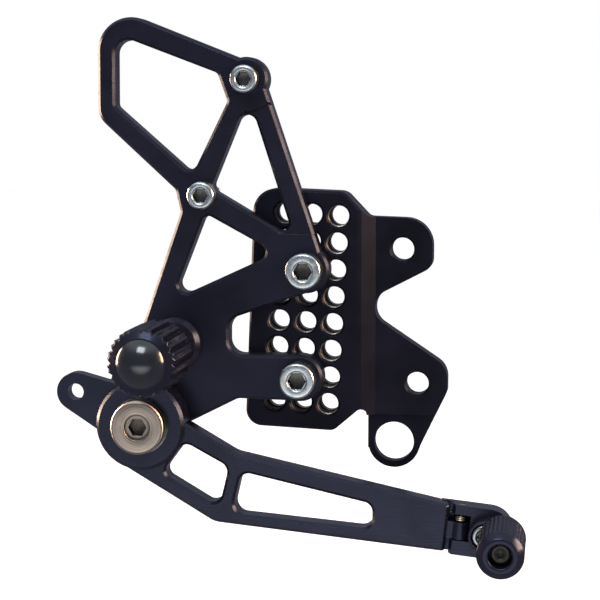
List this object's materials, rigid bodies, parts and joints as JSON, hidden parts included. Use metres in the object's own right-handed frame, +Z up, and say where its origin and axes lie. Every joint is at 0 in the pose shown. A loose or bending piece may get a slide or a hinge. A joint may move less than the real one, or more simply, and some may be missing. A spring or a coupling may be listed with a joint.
{
  "type": "foot peg",
  "caption": "Adjustable rear-set for the brake side: fixed foot peg on a windowed hanger and perforated adapter plate, with a pivoting brake pedal and folding toe peg.",
  "frame": {"origin": "midway between the two frame bolt holes, on the inboard face that meets the motorcycle's frame", "axes": "+X forward along the motorcycle, +Y inboard towards the motorcycle, +Z up; the foot peg points along -Y"},
  "size_m": [0.1732, 0.084, 0.1943],
  "materials": {
    "black_anodised": "satin black anodised, bevelled edges",
    "peg_anodised": "black anodised, serrated grip",
    "cap_black": "smooth satin black",
    "zinc_steel": "bright zinc plated",
    "turned_steel": "turned stainless, concentric tool marks",
    "bearing_steel": "ground bearing steel",
    "seal_rubber": "matte black seal",
    "spring_steel": "yellow zinc spring wire and pin",
    "black_oxide": "black oxide screw"
  },
  "bodies": {
    "bracket": {"adapter_plate": "black_anodised", "hanger_plate": "black_anodised", "hanger_bolts": "zinc_steel", "cylinder_bolts": "zinc_steel", "peg_body": "peg_anodised", "peg_bolt": "zinc_steel", "peg_cap": "cap_black", "peg_locknut": "zinc_steel", "pivot_bolt": "turned_steel", "pivot_locknut": "zinc_steel", "pivot_spacers": "bearing_steel", "bearing_inner_rings": "bearing_steel"},
    "pedal": {"brake_pedal": "black_anodised", "bearing_outer_rings": "bearing_steel", "bearing_balls": "bearing_steel", "bearing_seals": "seal_rubber", "fold_spring": "spring_steel"},
    "tip": {"tip_block": "black_anodised", "fold_pin": "spring_steel", "link_bolt": "zinc_steel"},
    "toe_link": {"toe_link": "black_anodised", "toe_peg": "peg_anodised", "toe_peg_bolt": "black_oxide"}
  },
  "joints": [
    {"name": "pedal_pivot", "type": "hinge", "parent": "bracket", "child": "pedal", "pos_m": [-0.0965, -0.029, -0.0388], "axis": [0, 1, 0], "range_deg": [0, 18]},
    {"name": "tip_fold", "type": "hinge", "parent": "pedal", "child": "tip", "pos_m": [0.0204, -0.03, -0.0742], "axis": [-0.1045, 0, -0.9945], "range_deg": [0, 80], "stiffness_Nm_per_rad": 0.15, "springref_deg": -45.84, "deforming": ["fold_spring"]},
    {"name": "toe_adjust", "type": "hinge", "parent": "tip", "child": "toe_link", "pos_m": [0.0292, -0.036, -0.0751], "axis": [0, 1, 0], "range_deg": [-60, 60]}
  ]
}
